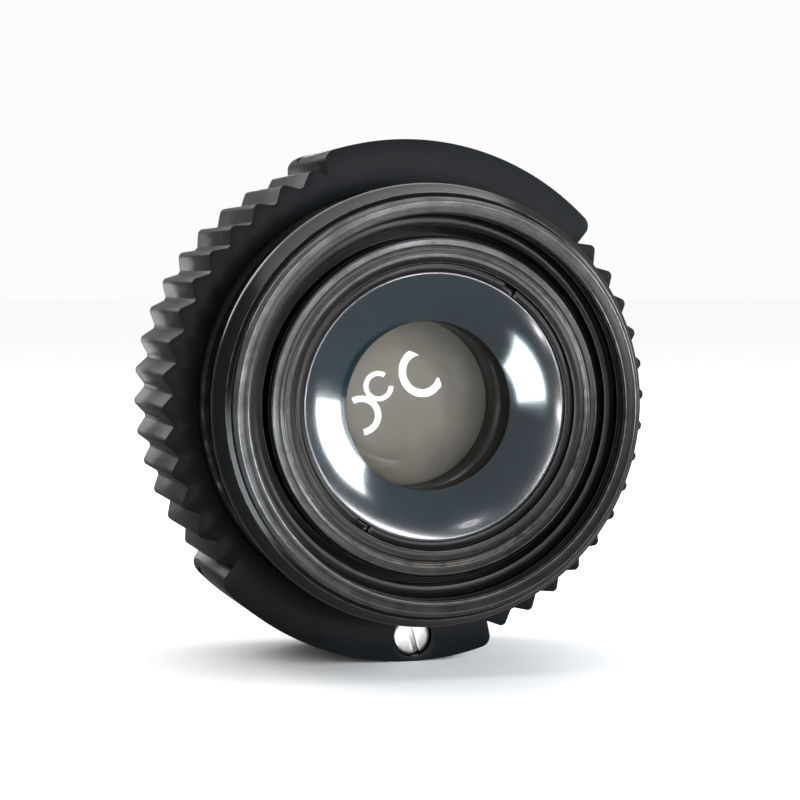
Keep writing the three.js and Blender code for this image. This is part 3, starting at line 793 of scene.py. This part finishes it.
class EYEPIECE_OT_grip(bpy.types.Operator):
    """Make the knurled dioptre ring with its two lugs"""

    bl_idname = "eyepiece.grip"
    bl_label = "Knurled Ring"

    def execute(self, context):
        grip = context.scene.eyepiece_grip
        teeth = self.knurled_bar(grip)
        piece = turned("grip", self.section(grip))
        carve(piece, teeth, "INTERSECT")
        hole = 1.1
        for angle in grub_angles(grip):
            carve(piece, bar(hole, 9, (18.8, SET_SCREW_LEVEL), "outwards", angle))
        distance, swung = lug_screw_place(grip)
        carve(piece, bar(LUG_SCREW_HOLE, 3.5, (distance, RING_REAR), "depth", swung))
        carve(piece, bar(hole, 6.5, (distance, RING_REAR + 3.3), "depth", swung, 32))
        material = satin_black("grip_satin", context.scene.eyepiece_colours.grip)
        finish_piece(piece, material, "focus_ring", ["knurled_ring"], 0.07)
        return {"FINISHED"}

    def section(self, grip):
        """(radius, depth) corners of the ring without its teeth."""
        out = grip.lug_radius
        bend = grip.front_rounding
        bearing, clip_room = NECK_RADIUS + 0.06, 17.9
        recess, land = PLATE_REAR - 0.35, NECK_FRONT + 0.2
        clip_rear, clip_front = CLIP_REAR - 0.15, CLIP_FRONT + 0.15
        return [
            (grip.bore_radius, RING_REAR), (out + 1, RING_REAR), (out + 1, RING_FRONT - bend),
            (out, RING_FRONT - bend), *rounded((out - bend, RING_FRONT - bend), bend, 0, 90, 12),
            (PLATE_RADIUS + PLAY, RING_FRONT), (PLATE_RADIUS + PLAY, recess),
            (HELICOID_RADIUS + PLAY, recess), (HELICOID_RADIUS + PLAY, land), (bearing, land),
            (bearing, clip_front), (clip_room, clip_front), (clip_room, clip_rear),
            (grip.bore_radius, clip_rear),
        ]

    def knurled_bar(self, grip):
        """A long bar with the ring's toothed outline."""
        shape = bmesh.new()
        rear = (RING_REAR - 1) * MM
        outline = [shape.verts.new((x * MM, rear, z * MM)) for x, z in grip_outline(grip)]
        face = shape.faces.new(outline)
        grown = bmesh.ops.extrude_face_region(shape, geom=[face])
        moved = [v for v in grown["geom"] if isinstance(v, bmesh.types.BMVert)]
        bmesh.ops.translate(shape, verts=moved, vec=(0, (RING_FRONT - RING_REAR + 2) * MM, 0))
        turn = Matrix.Rotation(-grip.rest_turn, 3, "Y")
        bmesh.ops.rotate(shape, verts=shape.verts, cent=(0, 0, 0), matrix=turn)
        tidy_shape(shape)
        to_row(shape)
        return new_object("knurled_bar", shape)


class EYEPIECE_OT_face_plate(bpy.types.Operator):
    """Make the face plate round the eye aperture"""

    bl_idname = "eyepiece.face_plate"
    bl_label = "Face Plate"

    def execute(self, context):
        section = [
            (CLEAR_RADIUS, PLATE_REAR), (PLATE_RADIUS, PLATE_REAR),
            (PLATE_RADIUS, PLATE_FRONT), (CLEAR_RADIUS, PLATE_FRONT),
        ]
        piece = turned("face", section)
        # the face plate's lighter colour is painted light on its flat face
        material = painted_lit_face_satin("face_satin_painted_lit", context.scene.eyepiece_colours.face)
        finish_piece(piece, material, "focus_ring", ["face_plate"], 0.12)
        return {"FINISHED"}


class EYEPIECE_OT_drive(bpy.types.Operator):
    """Paint the helicoid ring inside the grip"""

    bl_idname = "eyepiece.drive"
    bl_label = "Helicoid Ring"

    def execute(self, context):
        material = turned_metal("helicoid_brass_grey", context.scene.eyepiece_colours.turned)
        paint(["helicoid_ring"], material)
        return {"FINISHED"}


class EYEPIECE_OT_grub_screws(bpy.types.Operator):
    """Make the three set screws with their slots"""

    bl_idname = "eyepiece.grub_screws"
    bl_label = "Set Screws"

    def execute(self, context):
        grip = context.scene.eyepiece_grip
        material = bright_steel("set_screw_steel", (0.25, 0.25, 0.26), 0.3)
        outer = grip.root_radius - 0.5
        inner = HELICOID_RADIUS + PLAY
        middle = ((outer + inner) / 2, SET_SCREW_LEVEL)
        for i, angle in enumerate(grub_angles(grip)):
            piece = bar(1.0, outer - inner, middle, "outwards", angle)
            piece.name = f"set_screw_{i + 1}"
            carve(piece, brick((1.2, 3, 0.4), (outer, SET_SCREW_LEVEL), angle))
            finish_piece(piece, material, "focus_ring", [f"grub_screw_{i + 1}"], 0.06)
        return {"FINISHED"}


class EYEPIECE_OT_lug_screw(bpy.types.Operator):
    """Make the slotted screw in the lower lug"""

    bl_idname = "eyepiece.lug_screw"
    bl_label = "Lug Screw"

    def execute(self, context):
        distance, swung = lug_screw_place(context.scene.eyepiece_grip)
        rear = RING_REAR + 0.35
        head, shank, under_head, end = 1.5, 1, rear + 1.3, rear + 6
        section = [
            (0, rear + 0.02), (head - 0.25, rear), (head, rear + 0.12), (head, under_head),
            (shank, under_head), (shank, end), (0, end),
        ]
        shape = bmesh.new()
        outline = chain(shape, section, False)
        bmesh.ops.spin(
            shape, geom=outline, cent=(0, 0, 0), axis=(0, 1, 0), angle=2 * math.pi, steps=64,
            use_merge=True,
        )
        tidy_shape(shape)
        piece = swing(shape, (distance, 0), swung)
        piece.name = "lug_screw_bright"
        carve(piece, brick((0.5, 1.4, 4), (distance, rear), swung, math.radians(75)))
        material = bright_steel("lug_screw_steel")
        finish_piece(piece, material, "focus_ring", ["lug_screw"], 0.04)
        return {"FINISHED"}


# ---- lens cell ------------------------------------------------------------------------------


class EYEPIECE_OT_cell(bpy.types.Operator):
    """Make the lens cell whose turned rear end shows in the seat"""

    bl_idname = "eyepiece.cell"
    bl_label = "Lens Cell"

    def execute(self, context):
        seal_rear, seal_front = CELL_REAR + 4.4 - 0.6, CELL_REAR + 4.4 + 0.6
        shoulder = depth_of("field_lens_crown")[0] + 1.01
        mouth, run = 11.1, CELL_RADIUS
        relief, relief_front, groove = run - 0.7, CELL_REAR + 2.6, run - 1.05
        line = CELL_REAR + 0.1
        bezel_seat, bezel_stop = CLEAR_RADIUS + 1.65, BEZEL_REAR - PLAY
        lens_seat, cone_stop = LENS_RADIUS + PLAY, CONE_FRONT + 0.2
        section = [
            (mouth, CELL_REAR), (12.0, CELL_REAR), (12.1, line), (12.2, line), (12.3, CELL_REAR),
            (relief - 0.3, CELL_REAR), (relief, CELL_REAR + 0.3), (relief, relief_front),
            (run, relief_front), (run, seal_rear), (groove, seal_rear), (groove, seal_front),
            (run, seal_front), (run, CELL_FRONT), (bezel_seat, CELL_FRONT),
            (bezel_seat, bezel_stop), (lens_seat, bezel_stop), (lens_seat, shoulder),
            (CLEAR_RADIUS, shoulder), (CLEAR_RADIUS, cone_stop), (mouth, cone_stop),
        ]
        piece = turned("cell", section)
        guide = (GUIDE_REAR + GUIDE_FRONT) / 2
        wide = GUIDE_FRONT - GUIDE_REAR
        carve(piece, brick((2.8, wide + 2, wide + 0.12), (run, guide), 0))
        band = (11.55, run - 0.85, CELL_REAR + 0.3)
        material = gloss_black("cell_black", context.scene.eyepiece_colours.barrel, 0.6, band)
        finish_piece(piece, material, "lens_cell", ["lens_cell"])
        return {"FINISHED"}


class EYEPIECE_OT_retainer(bpy.types.Operator):
    """Make the rear retaining ring with its two spanner notches"""

    bl_idname = "eyepiece.retainer"
    bl_label = "Rear Retaining Ring"

    def execute(self, context):
        outer = top_of("rear_retaining_ring", 0)
        inner = outer - 0.6
        section = [
            (inner, KEEPER_REAR), (outer, KEEPER_REAR), (outer, KEEPER_FRONT), (inner, KEEPER_FRONT)
        ]
        piece = turned("keeper", section)
        for side in (0, math.pi):
            notch = brick((2.2, 1.4, 1.1), (inner + 0.3, KEEPER_REAR), math.radians(57) + side)
            carve(piece, notch)
        material = gloss_black("keeper_black", context.scene.eyepiece_colours.barrel, 1.0)
        finish_piece(piece, material, "lens_cell", ["rear_retaining_ring"], 0.08)
        return {"FINISHED"}


class EYEPIECE_OT_cone(bpy.types.Operator):
    """Make the glossy cone round the rear lens"""

    bl_idname = "eyepiece.cone"
    bl_label = "Cone Baffle"

    def execute(self, context):
        hole = LENS_RADIUS - 0.65
        lip = top_of("rear_retaining_ring", 0) - 0.65
        rim = top_of("cone_baffle", 0)
        seat = KEEPER_FRONT + PLAY
        section = [
            (hole, CONE_REAR + CONE_THROAT), (lip - 0.2, CONE_REAR), (lip, CONE_REAR), (lip, seat),
            (rim, seat), (rim, seat + 0.8), (hole + 0.8, CONE_FRONT), (hole, CONE_FRONT),
        ]
        piece = turned("cone", section)
        material = polished_cone("cone_polish", context.scene.eyepiece_colours.cone)
        finish_piece(piece, material, "lens_cell", ["cone_baffle"], 0.06)
        return {"FINISHED"}


class EYEPIECE_OT_bezel(bpy.types.Operator):
    """Make the bezel that holds the eye lens and paint the spacer behind it"""

    bl_idname = "eyepiece.bezel"
    bl_label = "Front Bezel"

    def execute(self, context):
        bore, outer, chamfer = CLEAR_RADIUS, CLEAR_RADIUS + 1.6, 0.4
        section = [
            (bore, BEZEL_REAR), (outer, BEZEL_REAR), (outer, BEZEL_FRONT),
            (bore + chamfer, BEZEL_FRONT), (bore, BEZEL_FRONT - chamfer),
        ]
        piece = turned("bezel", section)
        material = gloss_black("bezel_black", context.scene.eyepiece_colours.barrel, 0.3)
        finish_piece(piece, material, "lens_cell", ["front_bezel"], 0.05)
        paint(["lens_spacer"], material)
        return {"FINISHED"}


class EYEPIECE_OT_lenses(bpy.types.Operator):
    """Make the four lenses of the two cemented pairs"""

    bl_idname = "eyepiece.lenses"
    bl_label = "Lenses"

    def execute(self, context):
        colour = context.scene.eyepiece_colours.glass
        outer_sag = self.sag(OUTER_CURVE, LENS_RADIUS)
        rim = outer_sag - self.sag(OUTER_CURVE, CLEAR_RADIUS)
        cement_sag, inner_sag = self.sag(CEMENT_CURVE, LENS_RADIUS), self.sag(INNER_CURVE, LENS_RADIUS)
        flint_rim = FLINT_MIDDLE + cement_sag + inner_sag
        eye_front = BEZEL_REAR - PLAY - rim
        eye_cement = eye_front - CROWN_RIM
        field_rear = depth_of("field_lens_crown")[0] + outer_sag
        field_cement = field_rear + CROWN_RIM
        recipe = {
            "eye_lens_crown": (
                (eye_cement + CEMENT_HALF, CEMENT_CURVE, -1), (eye_front, OUTER_CURVE, 1),
            ),
            "eye_lens_flint": (
                (eye_cement - flint_rim, INNER_CURVE, 1), (eye_cement - CEMENT_HALF, CEMENT_CURVE, -1),
            ),
            "field_lens_flint": (
                (field_cement + CEMENT_HALF, CEMENT_CURVE, 1),
                (field_cement + flint_rim, INNER_CURVE, -1),
            ),
            "field_lens_crown": (
                (field_rear, OUTER_CURVE, -1), (field_cement - CEMENT_HALF, CEMENT_CURVE, 1),
            ),
        }
        front_colour = (colour[0] * 0.72, colour[1] * 0.62, colour[2] * 0.66)
        # the third colour of each glass is its painted reflection at one side of the rim
        eye_glass = coated_glass("eye_glass", front_colour, (0.34, 0.19, 0.27))
        field_glass = coated_glass("field_glass", colour, (0.15, 0.15, 0.1))
        for node, (rear_face, front_face) in recipe.items():
            section = self.side(*rear_face) + list(reversed(self.side(*front_face)))
            piece = turned(node.replace("lens", "glass"), section, closed=False, steps=128)
            material = eye_glass if node.startswith("eye") else field_glass
            finish_piece(piece, material, "lens_cell", [node], 0)
        return {"FINISHED"}

    @staticmethod
    def sag(radius, distance):
        """Depth of a curved face at a distance from the axis."""
        return radius - math.sqrt(radius * radius - distance * distance)

    def side(self, rim, radius, bulge, steps=20):
        """(radius, depth) corners of one lens face, from the axis to the rim."""
        corners = []
        for i in range(steps + 1):
            distance = LENS_RADIUS * i / steps
            rise = self.sag(radius, LENS_RADIUS) - self.sag(radius, distance)
            corners.append((distance, rim + bulge * rise))
        return corners


# ---- stage ----------------------------------------------------------------------------------


class EYEPIECE_OT_stage(bpy.types.Operator):
    """Lay the floor and backdrop, set the soft lights and the camera"""

    bl_idname = "eyepiece.stage"
    bl_label = "Stage"

    def execute(self, context):
        scene = context.scene
        low, high = CAD_BOX
        self.floor(scene, low[2])
        self.lights(scene)
        self.camera(scene, (Vector(low) + Vector(high)) / 2)
        return {"FINISHED"}

    def floor(self, scene, level):
        """A wide pale floor."""
        shape = bmesh.new()
        bmesh.ops.create_grid(shape, x_segments=2, y_segments=2, size=3.0)
        bmesh.ops.translate(shape, verts=shape.verts, vec=(0, 0, level))
        made = new_object("floor", shape)
        finish = Finish("floor_white")
        grain = finish.noise(finish.place(), 0.05, 3.0)
        colour = scene.eyepiece_colours.floor
        painted = finish.mix(grain, shade(colour, 0.98), shade(colour, 1.02))
        white = finish.surface(Base_Color=painted, Roughness=1.0, Specular_IOR_Level=0.0)
        made.data.materials.append(white)
        made.visible_glossy = False

    def lights(self, scene):
        """A pale room, soft light from above, three windows and ring lamps at both ends."""
        scene.view_settings.view_transform = "Standard"
        self.room(scene)
        middle = Vector((0, -0.012, 0))
        sun = bpy.data.lights.new("soft_above", "SUN")
        sun.energy = 2.6
        sun.angle = math.radians(80)
        made = bpy.data.objects.new("soft_above", sun)
        made.rotation_euler = Vector((-0.1, 0.45, -1)).to_track_quat("-Z", "Y").to_euler()
        scene.collection.objects.link(made)
        for name, place, size, power, colour in (
            ("side_window", (-0.33, 0.13, 0.07), 0.22, 2.3, (0.88, 0.96, 1.0)),
            ("low_window", (0.19, 0.256, -0.11), 0.17, 1.3, (0.78, 0.91, 1.0)),
            ("eye_window", (0.22, -0.3, 0.18), 0.16, 0.5, (1.0, 0.98, 0.95)),
        ):
            lamp = bpy.data.lights.new(name, "AREA")
            lamp.energy = power
            lamp.size = size
            lamp.color = colour
            made = bpy.data.objects.new(name, lamp)
            made.location = place
            aim = middle - Vector(place)
            made.rotation_euler = aim.to_track_quat("-Z", "Y").to_euler()
            scene.collection.objects.link(made)
        finish = Finish("lamp_glow")
        glow = finish.surface(
            Base_Color=(0, 0, 0, 1), Emission_Color=(1, 0.97, 1, 1), Emission_Strength=14.0
        )
        for name, place, radius, part in (
            ("ring_lamp", (-0.094, 0.225, 0.044), 0.042, (20, 350)),
            ("small_lamp", (-0.004, 0.235, 0.018), 0.025, (0, 300)),
            ("low_lamp", (0.03, 0.235, -0.04), 0.034, (-120, 200)),
            ("spot_lamp", (-0.03, 0.225, 0.114), 0.009, (0, 360)),
            ("front_ring_lamp", (-0.064, -0.25, 0.05), 0.032, (0, 360)),
            ("front_inner_lamp", (-0.064, -0.25, 0.05), 0.016, (0, 360)),
            ("front_small_lamp", (0.004, -0.25, -0.004), 0.018, (0, 360)),
            ("front_dot_lamp", (-0.03, -0.25, 0.016), 0.01, (0, 200)),
        ):
            self.ring_lamp(name, Vector(place), radius, part, glow)

    def room(self, scene):
        """White where it is seen, dim where it only lights the pieces."""
        world = bpy.data.worlds.new("pale_room")
        world.use_nodes = True
        nodes = world.node_tree.nodes
        seen = nodes.new("ShaderNodeLightPath")
        strength = nodes.new("ShaderNodeMapRange")
        lit, shown = 0.3, 0.97
        strength.inputs["To Min"].default_value = lit
        strength.inputs["To Max"].default_value = shown
        world.node_tree.links.new(seen.outputs["Is Camera Ray"], strength.inputs["Value"])
        world.node_tree.links.new(strength.outputs[0], nodes["Background"].inputs["Strength"])
        nodes["Background"].inputs["Color"].default_value = (1, 1, 1, 1)
        scene.world = world

    def ring_lamp(self, name, place, radius, part, glow):
        """A lamp shaped as a ring, or part of one, that faces the eyepiece and isn't seen itself.

        The part is (start, sweep) in degrees.
        """
        tube = radius * 0.19
        shape = bmesh.new()
        bmesh.ops.create_circle(shape, segments=8, radius=tube)
        bmesh.ops.translate(shape, verts=shape.verts, vec=(radius, 0, 0))
        start, sweep = part
        begin = Matrix.Rotation(math.radians(start), 3, "Y")
        bmesh.ops.rotate(shape, verts=shape.verts, cent=(0, 0, 0), matrix=begin)
        bmesh.ops.spin(
            shape, geom=shape.edges[:], cent=(0, 0, 0), axis=(0, 1, 0), angle=math.radians(sweep),
            steps=48, use_merge=sweep == 360,
        )
        turn = (place * -1).to_track_quat("Y", "Z").to_matrix()
        bmesh.ops.rotate(shape, verts=shape.verts, cent=(0, 0, 0), matrix=turn)
        bmesh.ops.translate(shape, verts=shape.verts, vec=place)
        bmesh.ops.recalc_face_normals(shape, faces=shape.faces)
        made = new_object(name, shape)
        made.data.materials.append(glow)
        made.visible_camera = False
        made.visible_shadow = False

    def camera(self, scene, middle):
        """Looks at the rear seat, a little from one side."""
        around, above, distance = math.radians(165), math.radians(3), 0.19
        back = Vector((
            math.sin(around) * math.cos(above), -math.cos(around) * math.cos(above), math.sin(above)
        ))
        lens = bpy.data.cameras.new("camera")
        lens.lens = 105
        lens.clip_start, lens.clip_end = 0.01, 10
        made = bpy.data.objects.new("camera", lens)
        made.location = middle + back * distance
        made.rotation_euler = (-back).to_track_quat("-Z", "Y").to_euler()
        scene.collection.objects.link(made)
        scene.camera = made


# ---- panel and registration -----------------------------------------------------------------

OPERATORS = (
    EYEPIECE_OT_flange, EYEPIECE_OT_neck, EYEPIECE_OT_seals, EYEPIECE_OT_inner_steel, EYEPIECE_OT_grip,
    EYEPIECE_OT_face_plate, EYEPIECE_OT_drive, EYEPIECE_OT_grub_screws, EYEPIECE_OT_lug_screw,
    EYEPIECE_OT_cell, EYEPIECE_OT_retainer, EYEPIECE_OT_cone, EYEPIECE_OT_bezel, EYEPIECE_OT_lenses,
    EYEPIECE_OT_stage,
)


class EYEPIECE_PT_pieces(bpy.types.Panel):
    """Lists the pieces and their sizes"""

    bl_idname = "EYEPIECE_PT_pieces"
    bl_label = "Eyepiece"
    bl_space_type = "VIEW_3D"
    bl_region_type = "UI"
    bl_category = "Eyepiece"

    def draw(self, context):
        for name in GROUPS:
            group = getattr(context.scene, name)
            box = self.layout.box()
            for size in group.bl_rna.properties.keys():
                if size not in ("rna_type", "name"):
                    box.prop(group, size)
        for operator in OPERATORS:
            self.layout.operator(operator.bl_idname)


GROUPS = {
    "eyepiece_grip": EyepieceGripSizes,
    "eyepiece_fineness": EyepieceFineness,
    "eyepiece_colours": EyepieceColours,
}


def register():
    for group in GROUPS.values():
        bpy.utils.register_class(group)
    for name, group in GROUPS.items():
        setattr(bpy.types.Scene, name, bpy.props.PointerProperty(type=group))
    for operator in OPERATORS:
        bpy.utils.register_class(operator)
    bpy.utils.register_class(EYEPIECE_PT_pieces)


def unregister():
    bpy.utils.unregister_class(EYEPIECE_PT_pieces)
    for operator in reversed(OPERATORS):
        bpy.utils.unregister_class(operator)
    for name, group in GROUPS.items():
        delattr(bpy.types.Scene, name)
        bpy.utils.unregister_class(group)


def main():
    register()
    for operator in OPERATORS:
        group, call = operator.bl_idname.split(".")
        getattr(getattr(bpy.ops, group), call)()


if __name__ == "__main__":
    main()
